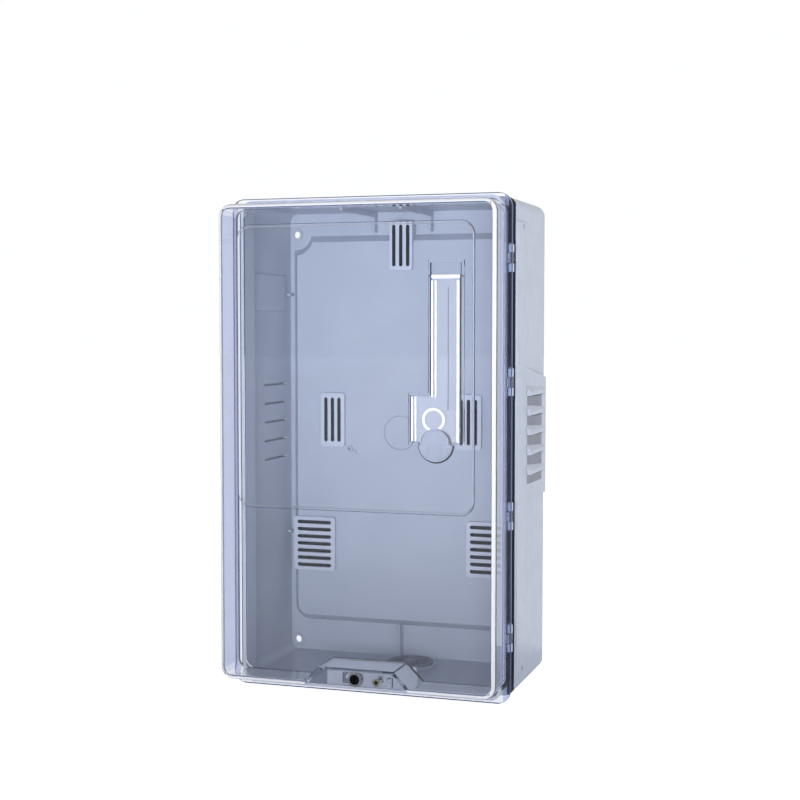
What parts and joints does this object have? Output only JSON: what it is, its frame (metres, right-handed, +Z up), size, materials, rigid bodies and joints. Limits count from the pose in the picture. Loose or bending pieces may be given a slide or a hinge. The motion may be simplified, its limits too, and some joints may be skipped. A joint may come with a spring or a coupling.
{
  "type": "meter box",
  "caption": "Wall-mounted plastic meter box with a deep clear hinged cover, a small clear access flap, slotted fixing pads, side louvres and a cam lock.",
  "frame": {"origin": "centre of the four wall holes, on the wall plane behind the tub", "axes": "+X to the right seen from the front, +Y into the wall, +Z up"},
  "size_m": [0.301, 0.1965, 0.5],
  "materials": {
    "tub_plastic": "blue-grey moulded ABS, fine satin texture",
    "pad_plastic": "lighter blue-grey moulded ABS",
    "clear_plastic": "clear moulded polycarbonate, polished",
    "seal_rubber": "dark grey rubber",
    "steel": "bright zinc-plated steel",
    "brass": "dull nickel-brass"
  },
  "bodies": {
    "tub": {"base_tub": "tub_plastic", "meter_pad_top": "pad_plastic", "meter_pad_left": "pad_plastic", "meter_pad_right": "pad_plastic", "breaker_pad_left": "pad_plastic", "breaker_pad_right": "pad_plastic", "rim_gasket": "seal_rubber", "cable_grommet": "seal_rubber", "hinge_pin_1": "steel", "hinge_pin_2": "steel", "hinge_pin_3": "steel", "hinge_pin_4": "steel", "lock_insert": "brass"},
    "cover": {"clear_cover": "clear_plastic", "lock_barrel": "steel", "lock_nut": "steel", "flap_pin": "steel"},
    "lock_core": {"lock_plug": "brass", "lock_cam": "steel", "cam_screw": "steel"},
    "screw": {"seal_screw": "brass", "seal_screw_clip": "steel"},
    "flap": {"access_flap": "clear_plastic"}
  },
  "joints": [
    {"name": "cover_hinge", "type": "hinge", "parent": "tub", "child": "cover", "pos_m": [0.1425, -0.136, 0.006], "axis": [0, 0, 1], "range_deg": [0, 110]},
    {"name": "flap_hinge", "type": "hinge", "parent": "cover", "child": "flap", "pos_m": [0.094, -0.1939, 0.174], "axis": [-1, 0, 0], "range_deg": [0, 100]},
    {"name": "lock_turn", "type": "hinge", "parent": "cover", "child": "lock_core", "pos_m": [-0.014, -0.148, -0.231], "axis": [0, 1, 0], "range_deg": [0, 90]},
    {"name": "screw_turn", "type": "hinge", "parent": "cover", "child": "screw", "pos_m": [0.011, -0.15, -0.231], "axis": [0, -1, 0], "continuous": true}
  ]
}
